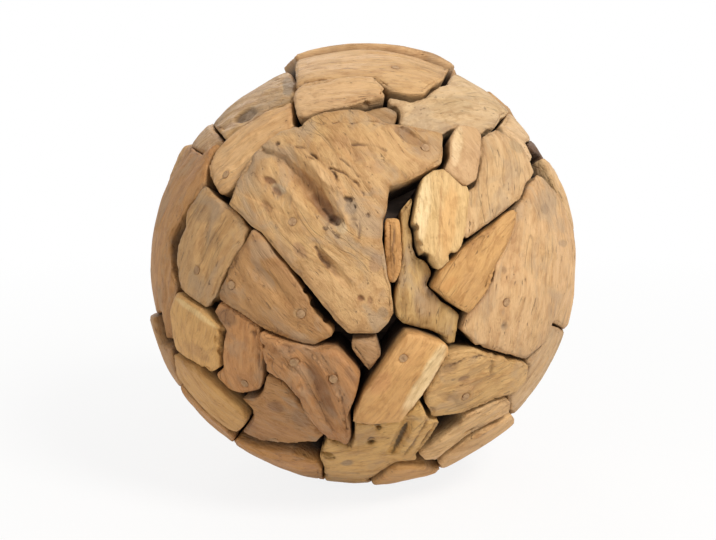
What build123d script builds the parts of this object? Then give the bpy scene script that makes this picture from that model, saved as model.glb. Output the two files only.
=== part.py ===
"""A decorative ball of root wood: irregular slabs set edge to edge on a turned core and pegged to it."""
import os
from dataclasses import dataclass
from math import cos, hypot, radians, sin, sqrt

from build123d import *

# Driving sizes, in millimetres
BALL_DIAMETER = 300.0    # over the slabs, at their nominal surface
SLAB_THICKNESS = 28.0    # from the core to the nominal surface
SEAM_GAP = 0.9           # between neighbouring slabs, at the surface
GLUE_GAP = 0.15          # between a slab and the core
PROUD_HEIGHT = 5.0       # the unit in which slabs stand proud of the nominal surface or lie below it
RIM_CHAMFER = 1.2        # worn rim of a slab
PEG_DIAMETER = 5.0
PEG_CLEARANCE = 0.05     # on the radius of a peg's bore
PEG_DEPTH = 18.0         # into the core
FURROW_RADIUS = 10.0     # the unit in which the hollow backs of furrows are rounded
FURROW_SINK = 2.0        # the unit in which the ends of furrows lie below a slab's surface
KNOT_DIAMETER = 6.0      # the unit in which open knot holes are wide
KNOT_DEPTH = 14.0
CUT_OVERRUN = 4.0        # by which a tool runs past what it cuts

BALL_RADIUS = BALL_DIAMETER / 2
CORE_RADIUS = BALL_RADIUS - SLAB_THICKNESS

# The photograph: where its ball lies, in pixels, and how far off it was taken
PHOTO_CENTRE_PIXELS = (363.0, 264.0)
PHOTO_RADIUS_PIXELS = 217.0
VIEWER_DISTANCE_SHARE = 6.0    # of the ball's radius
VIEWER_ELEVATION = 10.0        # degrees above the ball's middle

# Where seams meet on the far side: degrees to the right of and above the point opposite the viewer
BACK_DEGREES = {
    "r1": (-30, 75), "r2": (37, 75), "r3": (61, 64), "r4": (61, 45), "r5": (79, 35), "r6": (92, 14),
    "r7": (79, -26), "r8": (56, -59), "r9": (29, -80), "r10": (4, -97), "r11": (-17, -95),
    "r12": (-48, -66), "r13": (-68, -48), "r14": (-74, -17), "r15": (-82, 10), "r16": (-77, 52),
    "r17": (-55, 53),
    "e1": (-42, 60), "e2": (-14, 60), "e3": (12, 58), "e4": (28, 66), "e5": (51, 72), "e6": (67, 32),
    "e7": (81, -5), "e8": (65, -42), "e9": (44, -70), "e10": (22, -76), "e11": (-24, -74),
    "e12": (-58, -58), "e13": (-67, -32), "e14": (-72, -2), "e15": (-81, 32), "e16": (-65, 46),
    "t1": (-30, 92), "t2": (-8, 97), "t3": (17, 96), "t4": (39, 89),
    "m1": (-35, 23), "m2": (-14, 35), "m3": (9, 30), "m4": (19, 14), "m5": (14, -9), "m6": (-5, -23),
    "m7": (-26, -19), "m8": (-38, 0),
    "n1": (-16, 49), "n2": (-37, 42), "n3": (-53, 30), "n4": (-58, 12), "n5": (14, 46), "n6": (30, 44),
    "n7": (46, 53), "n8": (39, 30), "n9": (32, 16), "n10": (51, 28), "n11": (53, 12), "n12": (42, 0),
    "n13": (58, -19), "n14": (37, -16), "n15": (46, -37), "n16": (28, -44), "n17": (7, -37),
    "n18": (12, -62), "n19": (-14, -62), "n20": (-26, -35), "n21": (-46, -42), "n22": (-53, -23),
}

# How a seam of the far side strays from a straight line: shares of its length, along it and sideways
FAR_STRAY_SHARES = [
    ((0.30, 0.05), (0.62, -0.04)),
    ((0.25, -0.06), (0.70, 0.03)),
    ((0.38, -0.03), (0.74, -0.07)),
    ((0.45, 0.07), (0.80, 0.02)),
]


@dataclass
class Slab:
    """One slab: its outline as corners seen in the photograph and corners on the far side, in turn."""

    name: str
    seen_pixels: list
    far_names: str = ""
    more_pixels: tuple = ()
    rise_share: float = 0.0    # of PROUD_HEIGHT, by which its crest stands proud
    dome_share: float = 1.0    # of the ball's radius, the radius of its outer face
    worn_share: float = 1.0    # of RIM_CHAMFER, how far its rim is worn


SLABS = [
    Slab(
        "heart_slab",
        [(228, 204), (231, 197), (235, 183), (243, 168), (252, 154), (263, 142), (279, 131), (290, 128),
         (303, 123), (312, 116), (325, 111), (345, 109), (360, 109), (373, 114), (383, 121), (415, 126),
         (443, 132), (444, 146), (442, 162), (423, 173), (404, 182), (390, 187), (388, 212), (384, 219),
         (382, 239), (388, 271), (393, 286), (394, 314), (388, 324), (378, 334), (348, 334), (335, 321),
         (310, 289), (281, 256), (261, 232), (251, 226), (240, 214)],
        rise_share=0.3, dome_share=0.95),
    Slab(
        "temple_plank",
        [(221, 135), (235, 123), (250, 114), (263, 105), (280, 101), (290, 96), (291, 118), (285, 128),
         (271, 133), (262, 141), (249, 154), (240, 168), (231, 180), (222, 190), (214, 192), (204, 174),
         (203, 164), (209, 149)],
        rise_share=-0.7, dome_share=1.1),
    Slab(
        "upper_left_rim_slab",
        [(218, 133), (231, 123), (258, 106), (270, 100), (290, 94), (294, 74)],
        "r1 e1 r17",
        rise_share=-1.5, dome_share=1.1),
    Slab(
        "left_rim_slab",
        [(214, 137), (207, 149), (202, 159), (198, 180), (189, 197), (182, 202), (171, 222), (163, 239),
         (164, 262), (170, 288), (166, 309), (166, 322), (171, 342), (163, 341), (159, 330), (156, 315)],
        "r14 e14 r15 e15 r16",
        ((197, 151), (206, 142)),
        rise_share=-0.7),
    Slab(
        "left_shoulder_sliver",
        [(215, 134), (206, 140), (196, 149)],
        "r16 e16 r17",
        rise_share=-1.2, dome_share=0.9),
    Slab(
        "crest_plank",
        [(446, 74), (433, 82), (426, 88), (411, 89), (388, 84), (375, 73), (360, 72), (335, 75), (301, 80),
         (294, 85), (294, 76)],
        "t1 t2 t3 t4",
        rise_share=-0.6, dome_share=1.1),
    Slab(
        "top_rim_slab",
        [],
        "t1 t2 t3 t4 r2 e4 e3 e2 r1",
        rise_share=0.8, dome_share=0.95),
    Slab(
        "brow_plank",
        [(294, 89), (303, 82), (335, 77), (360, 74), (373, 75), (386, 87), (385, 94), (360, 101), (345, 106),
         (325, 109), (304, 116), (296, 115), (292, 97)],
        rise_share=0.2, dome_share=0.8),
    Slab(
        "neck_chip",
        [(360, 105), (376, 100), (386, 98), (398, 103), (400, 108), (395, 119), (386, 119), (378, 115)],
        rise_share=-1.0, dome_share=1.2),
    Slab(
        "upper_right_slab",
        [(388, 91), (413, 95), (428, 90), (434, 84), (441, 79), (449, 77)],
        "r2 e5 r3",
        ((505, 117), (499, 124), (493, 124), (487, 128), (470, 122), (456, 122), (446, 129), (430, 127),
         (400, 120), (402, 108), (401, 102), (390, 97)),
        rise_share=-1.0, dome_share=1.1, worn_share=0.6),
    Slab(
        "right_shoulder_sliver",
        [(506, 119), (512, 128), (520, 135), (528, 144), (537, 160), (540, 152), (532, 138)],
        "r4 r3",
        rise_share=-0.9),
    Slab(
        "right_rear_sliver",
        [(534, 139), (542, 147), (549, 151), (555, 158)],
        "r5 e6 r4",
        rise_share=-0.9),
    Slab(
        "right_gap_splint",
        [(546, 155), (550, 162), (557, 179), (562, 190), (570, 206), (574, 218)],
        "r6 r5",
        ((556, 163),),
        rise_share=-0.4, worn_share=0.6),
    Slab(
        "cheek_block",
        [(458, 124), (466, 124), (479, 128), (483, 138), (480, 163), (477, 180), (469, 185), (465, 186),
         (450, 175), (444, 169), (451, 152), (451, 136)],
        rise_share=0.3, dome_share=0.8, worn_share=0.8),
    Slab(
        "right_temple_slab",
        [(485, 131), (500, 126), (515, 134), (525, 142), (533, 155), (539, 170), (530, 187), (526, 197),
         (513, 207), (490, 224), (470, 238), (464, 235), (467, 213), (471, 189), (477, 183), (482, 160)],
        rise_share=-0.5, dome_share=1.1),
    Slab(
        "pale_blade",
        [(432, 171), (443, 168), (463, 186), (468, 186), (469, 197), (466, 225), (461, 247), (448, 262),
         (439, 271), (431, 259), (422, 255), (418, 243), (417, 228), (413, 222), (418, 195), (422, 178)],
        rise_share=0.6, dome_share=0.9),
    Slab(
        "sunken_neck",
        [(417, 190), (403, 206), (404, 235), (405, 262), (397, 292), (396, 305), (399, 322), (406, 328),
         (436, 335), (448, 341), (451, 350), (460, 348), (466, 317), (447, 302), (431, 287), (437, 273),
         (429, 260), (420, 257), (416, 245), (415, 229), (411, 222)],
        rise_share=-1.3, worn_share=0.6),
    Slab(
        "short_stick",
        [(387, 217), (400, 217), (402, 245), (402, 267), (396, 283), (391, 281), (388, 255)],
        rise_share=-0.8, worn_share=0.6),
    Slab(
        "amber_wedge",
        [(514, 208), (519, 211), (517, 226), (506, 252), (498, 264), (491, 288), (477, 307), (470, 315),
         (452, 304), (433, 288), (442, 269), (470, 243), (495, 223)],
        rise_share=0.1),
    Slab(
        "right_rim_slab",
        [(540, 171), (531, 187), (527, 198), (520, 207), (518, 226), (507, 252), (499, 264), (492, 289),
         (478, 308), (471, 317), (465, 333), (475, 341), (479, 348), (500, 354), (530, 362), (549, 345),
         (557, 324)],
        "r7 e7 r6",
        ((576, 225), (565, 199), (551, 178)),
        rise_share=-0.3, dome_share=0.95),
    Slab(
        "right_lower_slab",
        [(449, 354), (462, 351), (477, 350), (499, 357), (531, 365), (529, 378), (523, 389), (500, 400),
         (476, 410), (464, 415), (431, 419), (425, 404), (426, 394), (439, 373)],
        rise_share=0.0),
    Slab(
        "lower_right_rim_slab",
        [(557, 327), (551, 345), (533, 365), (531, 379), (525, 391), (513, 400), (513, 413)],
        "r8 e8 r7",
        rise_share=-0.6),
    Slab(
        "long_lower_slab",
        [(419, 456), (437, 444), (460, 427), (468, 417), (494, 405), (508, 399), (512, 404), (511, 413),
         (488, 426), (468, 437), (446, 453), (436, 461), (425, 461)],
        rise_share=0.1),
    Slab(
        "bottom_right_rim_slab",
        [(512, 415), (488, 428), (470, 439), (447, 455), (438, 463), (441, 468)],
        "r9 e9 r8",
        rise_share=0.3),
    Slab(
        "bottom_rim_slab",
        [(372, 480), (384, 473), (392, 467), (400, 464), (425, 464), (439, 468)],
        "r9 e10 r10",
        rise_share=0.5, dome_share=1.05),
    Slab(
        "forked_root",
        [(353, 421), (372, 423), (401, 420), (415, 407), (421, 403), (429, 420), (440, 422), (429, 440),
         (416, 455), (418, 461), (399, 462), (382, 471), (367, 480)],
        "r10 r11",
        ((325, 478), (324, 468), (319, 456), (328, 440), (338, 445), (350, 448), (353, 438)),
        rise_share=0.2, dome_share=1.05, worn_share=0.8),
    Slab(
        "chock",
        [(351, 342), (377, 338), (384, 359), (369, 375), (351, 352)],
        rise_share=-0.5, dome_share=1.2),
    Slab(
        "pale_plank",
        [(406, 331), (420, 333), (445, 342), (448, 349), (431, 382), (418, 400), (400, 418), (374, 421),
         (352, 418), (363, 392), (385, 360), (397, 342)],
        rise_share=0.9, dome_share=1.3),
    Slab(
        "ridge_slab",
        [(259, 331), (282, 341), (312, 348), (335, 349), (354, 368), (360, 377), (358, 389), (349, 418),
         (351, 443), (346, 446), (328, 438), (311, 420), (305, 411), (300, 398), (286, 382), (268, 371),
         (263, 352)],
        rise_share=0.6, dome_share=0.85),
    Slab(
        "bottom_left_slab",
        [(264, 378), (280, 385), (293, 399), (299, 409), (312, 424), (324, 438), (317, 447), (285, 448),
         (258, 444), (240, 435), (250, 420), (249, 412), (236, 400), (252, 400), (260, 394)],
        rise_share=-0.4, dome_share=1.1),
    Slab(
        "bottom_left_rim_slab",
        [(237, 438), (258, 447), (290, 452), (318, 461), (322, 469), (322, 478)],
        "r11 e11 r12",
        rise_share=0.6),
    Slab(
        "lower_left_rim_slab",
        [(184, 384), (200, 403), (224, 424), (236, 436)],
        "r12 e12 r13",
        rise_share=0.8),
    Slab(
        "lower_left_plank",
        [(176, 353), (197, 366), (213, 381), (233, 400), (243, 408), (248, 417), (245, 425), (238, 431),
         (214, 413), (195, 393), (181, 375)],
        rise_share=0.7),
    Slab(
        "left_lower_rim_slab",
        [(155, 317), (163, 342), (172, 348), (174, 356), (180, 374), (184, 383)],
        "r13 e13 r14",
        rise_share=0.6),
    Slab(
        "left_lower_slab",
        [(217, 301), (238, 314), (256, 328), (262, 354), (260, 383), (257, 393), (238, 397), (226, 393),
         (212, 377), (220, 370), (220, 346), (223, 332), (209, 313)],
        rise_share=-0.3),
    Slab(
        "left_pale_patch",
        [(176, 292), (200, 309), (221, 330), (217, 336), (219, 368), (212, 373), (205, 371), (177, 351),
         (172, 335), (169, 309)],
        rise_share=0.2),
    Slab(
        "left_wedge_slab",
        [(252, 228), (262, 237), (283, 264), (304, 295), (315, 317), (331, 330), (332, 336), (313, 345),
         (300, 343), (263, 329), (238, 312), (220, 301), (217, 297), (223, 279), (233, 259), (244, 243)],
        rise_share=0.0),
    Slab(
        "left_middle_slab",
        [(201, 183), (213, 196), (231, 208), (249, 227), (240, 245), (230, 260), (220, 279), (213, 297),
         (203, 309), (177, 290), (173, 262), (174, 246), (182, 227), (184, 211)],
        rise_share=-0.2),
    Slab("back_heart_slab", [], "m1 m2 m3 m4 m5 m6 m7 m8", rise_share=0.4, dome_share=0.95),
    Slab("back_top_left_slab", [], "r17 e1 r1 e2 n1 n2", rise_share=0.0, dome_share=1.1),
    Slab("back_left_temple_slab", [], "r17 n2 n1 m2 m1 n3 e16", rise_share=-0.5),
    Slab("back_top_slab", [], "e2 e3 n5 m3 m2 n1", rise_share=0.1),
    Slab("back_top_right_slab", [], "e3 e4 r2 e5 n7 n6 n5", rise_share=-0.4, dome_share=1.1, worn_share=0.8),
    Slab("back_right_temple_slab", [], "n5 n6 n8 n9 m4 m3", rise_share=-0.1, dome_share=0.9),
    Slab("back_right_shoulder_slab", [], "e5 r3 r4 e6 n10 n8 n6 n7", rise_share=0.2, dome_share=1.1),
    Slab("back_right_slab", [], "e6 r5 r6 e7 r7 n13 n12 n11 n10", rise_share=-0.2),
    Slab("back_cheek_slab", [], "m4 n9 n8 n10 n11 n12 n14 m5", rise_share=-0.6, dome_share=1.1, worn_share=0.6),
    Slab("back_right_hip_slab", [], "n12 n13 r7 e8 n15 n14", rise_share=0.3, dome_share=0.9, worn_share=0.6),
    Slab("back_belly_slab", [], "m5 n14 n15 n16 n17 m6", rise_share=0.0),
    Slab("back_lower_right_slab", [], "n15 e8 r8 e9 n16", rise_share=0.1),
    Slab("back_bottom_right_slab", [], "n16 e9 r9 e10 n18 n17", rise_share=-0.2, worn_share=0.8),
    Slab("back_lower_belly_slab", [], "m6 n17 n18 n19 n20 m7", rise_share=0.5, dome_share=0.9, worn_share=0.6),
    Slab("base_slab", [], "n18 e10 r10 r11 e11 n19", rise_share=-1.6),
    Slab("back_bottom_left_slab", [], "n19 e11 r12 e12 n21 n20", rise_share=-0.3, dome_share=1.1),
    Slab("back_left_hip_slab", [], "m7 n20 n21 n22 m8", rise_share=0.1),
    Slab("back_lower_left_slab", [], "n21 e12 r13 e13 r14 n22", rise_share=0.3),
    Slab("back_left_slab", [], "n22 r14 e14 r15 n4 n3 m1 m8", rise_share=-0.2),
    Slab("back_left_shoulder_slab", [], "n4 r15 e15 r16 e16 n3", rise_share=0.0),
]

# Pegs whose ends the photograph shows: the slab and the end's middle
PEG_PIXELS = [
    ("temple_plank", (222, 172)),
    ("crest_plank", (396, 63)),
    ("heart_slab", (425, 148)),
    ("heart_slab", (293, 222)),
    ("left_middle_slab", (195, 270)),
    ("left_wedge_slab", (231, 285)),
    ("left_wedge_slab", (301, 314)),
    ("ridge_slab", (295, 361)),
    ("ridge_slab", (334, 377)),
    ("left_lower_slab", (243, 385)),
    ("pale_plank", (402, 355)),
    ("right_rim_slab", (509, 303)),
    ("right_lower_slab", (466, 397)),
]

# Furrows: the slab, their two ends, the shares of FURROW_RADIUS and of FURROW_SINK
FURROW_PIXELS_AND_SHARES = [
    ("heart_slab", (278, 150), (338, 226), 1.0, 0.6),
    ("heart_slab", (312, 243), (349, 287), 0.3, 0.5),
    ("heart_slab", (382, 117), (425, 147), 0.6, 0.6),
    ("heart_slab", (344, 193), (352, 224), 0.4, 0.7),
    ("heart_slab", (260, 178), (288, 204), 0.6, 0.5),
    ("heart_slab", (322, 140), (372, 166), 0.7, 0.4),
    ("ridge_slab", (302, 348), (342, 428), 0.9, 0.7),
    ("forked_root", (409, 418), (392, 454), 0.4, 1.6),
    ("pale_plank", (448, 347), (404, 416), 1.6, 0.5),
    ("pale_blade", (424, 176), (420, 252), 1.6, 0.4),
    ("cheek_block", (455, 128), (448, 168), 1.2, 0.6),
    ("upper_left_rim_slab", (234, 116), (257, 105), 0.5, 0.7),
    ("upper_right_slab", (418, 104), (462, 110), 0.8, 0.4),
    ("right_rim_slab", (528, 222), (504, 286), 1.3, 0.3),
    ("right_lower_slab", (438, 392), (494, 366), 0.9, 0.4),
    ("long_lower_slab", (436, 442), (460, 424), 0.4, 0.9),
    ("sunken_neck", (424, 262), (432, 312), 0.8, 0.4),
    ("left_middle_slab", (206, 214), (196, 262), 1.1, 0.3),
    ("left_wedge_slab", (248, 262), (292, 306), 0.8, 0.4),
    ("bottom_left_slab", (268, 392), (302, 432), 0.7, 0.5),
]

# Open knot holes: the slab, their middle and the share of KNOT_DIAMETER
KNOT_PIXELS_AND_SHARES = [
    ("forked_root", (328, 455), 1.2),
    ("forked_root", (372, 443), 0.9),
    ("forked_root", (379, 428), 0.8),
]


def seen_direction(pixel):
    """The direction from the ball's centre to what the photograph shows at a pixel."""
    across = (pixel[0] - PHOTO_CENTRE_PIXELS[0]) / PHOTO_RADIUS_PIXELS
    up = (PHOTO_CENTRE_PIXELS[1] - pixel[1]) / PHOTO_RADIUS_PIXELS
    limb_slope = 1 / sqrt(VIEWER_DISTANCE_SHARE**2 - 1)
    ray = Vector(across * limb_slope, 1, up * limb_slope)
    square = ray.dot(ray)
    inside = VIEWER_DISTANCE_SHARE**2 - square * (VIEWER_DISTANCE_SHARE**2 - 1)
    reach = (VIEWER_DISTANCE_SHARE - sqrt(max(inside, 0))) / square
    level = (ray * reach - Vector(0, VIEWER_DISTANCE_SHARE, 0)).normalized()
    return level.rotate(Axis.X, -VIEWER_ELEVATION)


def far_direction(name):
    """The direction from the ball's centre to a meeting of seams on the far side."""
    right, up = BACK_DEGREES[name]
    away = radians(hypot(right, up))
    spread = sin(away) / hypot(right, up)
    return Vector(right * spread, cos(away), up * spread).rotate(Axis.X, -VIEWER_ELEVATION)


def stray_directions(first, second):
    """The directions in which a far seam bends on its way from one meeting of seams to the next."""
    low, high = sorted((first, second))
    start, end = far_direction(low), far_direction(high)
    sideways = start.cross(end)
    order = list(BACK_DEGREES)
    shares = FAR_STRAY_SHARES[(order.index(low) + order.index(high)) % len(FAR_STRAY_SHARES)]
    bends = [
        (start + (end - start) * along_share + sideways * sideways_share).normalized()
        for along_share, sideways_share in shares
    ]
    return bends if low == first else bends[::-1]


def far_directions(slab):
    """The directions of a slab's corners on the far side and of the bends between them."""
    names = slab.far_names.split()
    closed = names and not slab.seen_pixels
    directions = []
    for name, following in zip(names, names[1:] + names[:1]):
        directions.append(far_direction(name))
        if closed or name != names[-1]:
            directions += stray_directions(name, following)
    return directions


def slab_directions(slab):
    """The directions of all corners of a slab's outline, in turn."""
    seen = [seen_direction(pixel) for pixel in slab.seen_pixels]
    return seen + far_directions(slab) + [seen_direction(pixel) for pixel in slab.more_pixels]


def slab_plane(slab):
    """A plane through the ball's centre that faces out through the middle of a slab."""
    middle = sum(slab_directions(slab), Vector(0, 0, 0))
    return Plane(origin=(0, 0, 0), z_dir=middle)


def narrowed(points, inset):
    """The corners of an outline moved inward so that each side moves by the inset."""
    turn = sum(a.X * b.Y - a.Y * b.X for a, b in zip(points, points[1:] + points[:1]))
    if turn < 0:
        points = points[::-1]
    moved = []
    for before, corner, after in zip(points[-1:] + points[:-1], points, points[1:] + points[:1]):
        first = (corner - before).normalized().rotate(Axis.Z, 90)
        second = (after - corner).normalized().rotate(Axis.Z, 90)
        moved.append(corner + (first + second) * (inset / (1 + first.dot(second))))
    return moved


def slab_outline(slab):
    """A slab's outline on its plane, at unit height over the ball's centre."""
    plane = slab_plane(slab)
    points = [plane.to_local_coords(direction) for direction in slab_directions(slab)]
    flat = [Vector(point.X / point.Z, point.Y / point.Z, 0) for point in points]
    return narrowed(flat, SEAM_GAP / 2 / BALL_RADIUS)


def dome_radius(slab):
    return BALL_RADIUS * slab.dome_share


def dome_centre(slab):
    """The middle of the sphere on which a slab's outer face lies."""
    crest = BALL_RADIUS + PROUD_HEIGHT * slab.rise_share
    return slab_plane(slab).z_dir * (crest - dome_radius(slab))


def surface_reach(slab, direction):
    """How far from the ball's centre a slab's outer face lies in a direction."""
    centre = dome_centre(slab)
    along = direction.dot(centre)
    return along + sqrt(along**2 - centre.dot(centre) + dome_radius(slab) ** 2)


def make_slab(slab, bores):
    """A slab with radial sides, a domed and worn outer face and a bore for each of its pegs."""
    plane = slab_plane(slab)
    outline = slab_outline(slab)
    widest = max(point.length for point in outline)
    inner_height = (CORE_RADIUS - CUT_OVERRUN) / sqrt(1 + widest**2)
    outer_height = BALL_RADIUS + PROUD_HEIGHT * slab.rise_share + CUT_OVERRUN
    with BuildPart() as body:
        for height in (inner_height, outer_height):
            with BuildSketch(plane.offset(height)):
                with BuildLine():
                    Polyline(*[point * height for point in outline], close=True)
                make_face()
        loft(ruled=True)
        with Locations(Plane(origin=dome_centre(slab), x_dir=-plane.z_dir, z_dir=plane.x_dir)):
            Sphere(dome_radius(slab), mode=Mode.INTERSECT)
        with Locations(Plane(origin=(0, 0, 0), x_dir=-plane.z_dir, z_dir=plane.x_dir)):
            Sphere(CORE_RADIUS + GLUE_GAP, mode=Mode.SUBTRACT)
        outer_face = body.faces().sort_by_distance(plane.z_dir * outer_height)[0]
        chamfer(outer_face.edges(), RIM_CHAMFER * slab.worn_share)
        for direction in bores:
            with BuildSketch(Plane(origin=direction * inner_height, z_dir=direction)):
                Circle(PEG_DIAMETER / 2 + PEG_CLEARANCE)
            extrude(amount=outer_height, mode=Mode.SUBTRACT)
        for name, start_pixel, end_pixel, radius_share, sink_share in FURROW_PIXELS_AND_SHARES:
            if name == slab.name:
                radius = FURROW_RADIUS * radius_share
                lift = radius - FURROW_SINK * sink_share
                start, end = (
                    direction * (surface_reach(slab, direction) + lift)
                    for direction in (seen_direction(start_pixel), seen_direction(end_pixel))
                )
                with BuildSketch(Plane(origin=start, z_dir=end - start)):
                    Circle(radius)
                extrude(amount=(end - start).length, mode=Mode.SUBTRACT)
        for name, pixel, diameter_share in KNOT_PIXELS_AND_SHARES:
            if name == slab.name:
                direction = seen_direction(pixel)
                foot = direction * (surface_reach(slab, direction) - KNOT_DEPTH)
                with BuildSketch(Plane(origin=foot, z_dir=direction)):
                    Circle(KNOT_DIAMETER * diameter_share / 2)
                extrude(amount=KNOT_DEPTH + CUT_OVERRUN, mode=Mode.SUBTRACT)
    body.part.label = slab.name
    return body.part


def peg_list():
    """The slab and the direction of every peg."""
    slabs = {slab.name: slab for slab in SLABS}
    seen = [(slabs[name], seen_direction(pixel)) for name, pixel in PEG_PIXELS]
    far = [(slab, slab_plane(slab).z_dir) for slab in SLABS if not slab.seen_pixels]
    return seen + far


PEGS = peg_list()

with BuildPart() as core:
    Sphere(CORE_RADIUS)
    for _, direction in PEGS:
        hole_foot = direction * (CORE_RADIUS - PEG_DEPTH - PEG_CLEARANCE)
        with BuildSketch(Plane(origin=hole_foot, z_dir=direction)):
            Circle(PEG_DIAMETER / 2 + PEG_CLEARANCE)
        extrude(amount=PEG_DEPTH + CUT_OVERRUN, mode=Mode.SUBTRACT)
core.part.label = "core"

with BuildPart() as pegs:
    for slab, direction in PEGS:
        foot = CORE_RADIUS - PEG_DEPTH
        with BuildSketch(Plane(origin=direction * foot, z_dir=direction)):
            Circle(PEG_DIAMETER / 2)
        extrude(amount=surface_reach(slab, direction) - foot)
pegs.part.label = "pegs"

os.makedirs("parts", exist_ok=True)
export_step(core.part, "parts/core.step")
export_step(pegs.part, "parts/pegs.step")
for slab in SLABS:
    bores = [direction for owner, direction in PEGS if owner is slab]
    export_step(make_slab(slab, bores), f"parts/{slab.name}.step")
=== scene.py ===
"""Dresses the root wood ball: worn slabs with grain, stains and cracks over a dark core."""
import math

import bmesh
import bpy
import numpy as np
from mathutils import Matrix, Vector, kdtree


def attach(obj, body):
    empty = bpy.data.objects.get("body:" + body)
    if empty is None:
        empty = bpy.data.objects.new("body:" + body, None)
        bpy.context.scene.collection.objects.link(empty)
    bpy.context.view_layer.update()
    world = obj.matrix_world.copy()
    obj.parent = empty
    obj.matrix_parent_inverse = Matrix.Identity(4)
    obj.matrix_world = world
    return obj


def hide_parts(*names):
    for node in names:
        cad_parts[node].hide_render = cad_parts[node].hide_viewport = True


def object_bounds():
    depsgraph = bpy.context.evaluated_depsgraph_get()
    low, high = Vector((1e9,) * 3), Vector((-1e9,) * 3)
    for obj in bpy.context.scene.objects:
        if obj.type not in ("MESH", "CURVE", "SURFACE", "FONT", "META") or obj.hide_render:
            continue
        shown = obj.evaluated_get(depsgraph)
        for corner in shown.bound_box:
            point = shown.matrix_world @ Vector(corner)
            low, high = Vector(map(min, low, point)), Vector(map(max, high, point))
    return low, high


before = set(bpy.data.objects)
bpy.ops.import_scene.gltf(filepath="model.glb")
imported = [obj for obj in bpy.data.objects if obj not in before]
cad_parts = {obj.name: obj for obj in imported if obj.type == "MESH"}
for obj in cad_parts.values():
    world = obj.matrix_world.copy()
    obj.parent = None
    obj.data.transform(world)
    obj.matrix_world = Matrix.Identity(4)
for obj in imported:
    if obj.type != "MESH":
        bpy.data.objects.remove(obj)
cad_low, cad_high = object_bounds()

# Lengths are in metres, unless a name or a comment says otherwise.

# The ball, its place in the photo in pixels, and the viewer of the photo, whose place is a guess.
BALL_RADIUS = 0.150
PHOTO_WIDTH = 716
PHOTO_HEIGHT = 540
PHOTO_CENTRE = np.array([363.0, 264.0])
PHOTO_RADIUS = 217.0
VIEWER_RADII = 6
VIEWER_DISTANCE = VIEWER_RADII * BALL_RADIUS
VIEWER_ELEVATION = math.radians(10)
TO_VIEWER = np.array([0, -math.cos(VIEWER_ELEVATION), math.sin(VIEWER_ELEVATION)])
FOCAL_PIXELS = PHOTO_RADIUS * math.sqrt(VIEWER_RADII ** 2 - 1)
SENSOR_MILLIMETRES = 36

# Small faces of the slabs.
WELD_DISTANCE = 1e-6
SEEN_VOXEL = 0.0012
FAR_VOXEL = 0.0016
FINE_VOXELS = {"heart_slab": 0.0008}
SMOOTH_ROUNDS = 2
# Walls deeper than this under the outer face are hidden, and lose this share of their faces.
WALL_SEEN = 0.009
HIDDEN_SAVING = 0.8
# Percentiles of the outer face's distance from the ball's centre, from which depths are measured:
# for what is hidden, for what is near the outer face, and for the painted shade between the slabs.
HIDDEN_PERCENTILE = 10
TOP_PERCENTILE = 20
GAP_SHADE_PERCENTILE = 12

# Lift is 1 where a face looks straight out of the ball, 0 on a wall and below 0 underneath. A pair
# of numbers is where a ramp starts and where it ends.
OUTER_LIFT = 0.6
TOP_RAMP = (0.15, 0.7)
UNDERSIDE_LIFT = -0.4
# Walls near the outer face, by the distance from it.
NEAR_TOP_RAMP = (-0.020, -0.006)
# A rim is measured from points that are outer face by less than the one share, and near the outer
# face by more than the other.
WALL_SHARE = 0.2
WALL_NEARNESS = 0.6
# Marks are made where an outward direction's y is below this, on the side that the photo shows.
FRONT_LIMIT = 0.2
# Slabs are broken by this share at the ball's outline, as the photo shows it, and in full
# further in.
OUTLINE_RAMP = (0.10, 0.45)
OUTLINE_SHARE = 0.15
# Where an outward direction's z is above this, the y axis is taken for up.
STEEP = 0.95

# Relief of outer faces.
SWELL = 0.0009
SWELL_MIDDLE = 0.25
SCOOP = 0.0016
RIDGE = 0.0007
RIDGE_LEAST = 0.35
TORN = 0.0003
# Broken walls and rims.
CHIP = 0.0014
SPLINTER_SHARE = 0.18
RIM_WEAR = 0.0018
RIM_REACH = 0.0036
RIM_EVEN = 0.35
RIM_BROKEN = 1.5
# Shares of the relief that pale slabs get, and of the breaks that far slabs get.
PALE_SMOOTHER = 0.5
FAR_RAGGED = 1.9
# How far walls reach into the seams beside them: in general, at the outline, and some slabs more.
FILL = 0.0004
LIMB_FILL = 0.0005
WIDER = {
    "left_wedge_slab": 0.0008,
    "heart_slab": 0.0003,
    "ridge_slab": 0.0004,
    "short_stick": 0.0011,
}
# Pegs: where their ends start from the ball's centre, how far in radians one end spreads, the ramp
# from flush to full relief beside an axis, and the walls of the bores, which close up.
PEG_END_REACH = 0.132
PEG_END_SPREAD = 0.05
PEG_RAMP = (0.0035, 0.0085)
PEG_BORE = 0.0048
PEG_FILL = 0.0006

# Grime along rims, and how much of it darkens red, green and blue.
GRIME = 0.40
GRIME_TINT = np.array([0.75, 0.90, 1.0])
# Cracks: screen colour, its strength, the least of it in the gaps of a line, and how many pixels
# from its run a line may wander.
CRACK_COLOUR = (84, 54, 35)
CRACK_STRENGTH = 0.70
CRACK_LEAST = 0.2
CRACK_PIXELS = 4
# How far noise moves the edges of marks and nicks, as a share of their size, and the lines of
# cracks and steps, in pixels.
MARK_RAGGED = 0.25
NICK_RAGGED = 0.2
CRACK_WANDER = 1.6
STEP_WANDER = 1.5
# Ramps from full to none, as a share of a mark's size, a nick's radius or a crack's half width.
MARK_RAMP = (0.65, 1.15)
NICK_RAMP = (0.3, 1.0)
CRACK_RAMP = (0.5, 2.0)
# Painted shade between the slabs, darker deeper in the seams: where it starts under the outer
# face, how far it takes to be full, and the least of it on walls.
GAP_SHADE_START = 0.002
GAP_SHADE_SPAN = 0.010
WALL_SHADE_LEAST = 0.12
WALL_SHADE_RAMP = (-0.1, 0.4)

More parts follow.
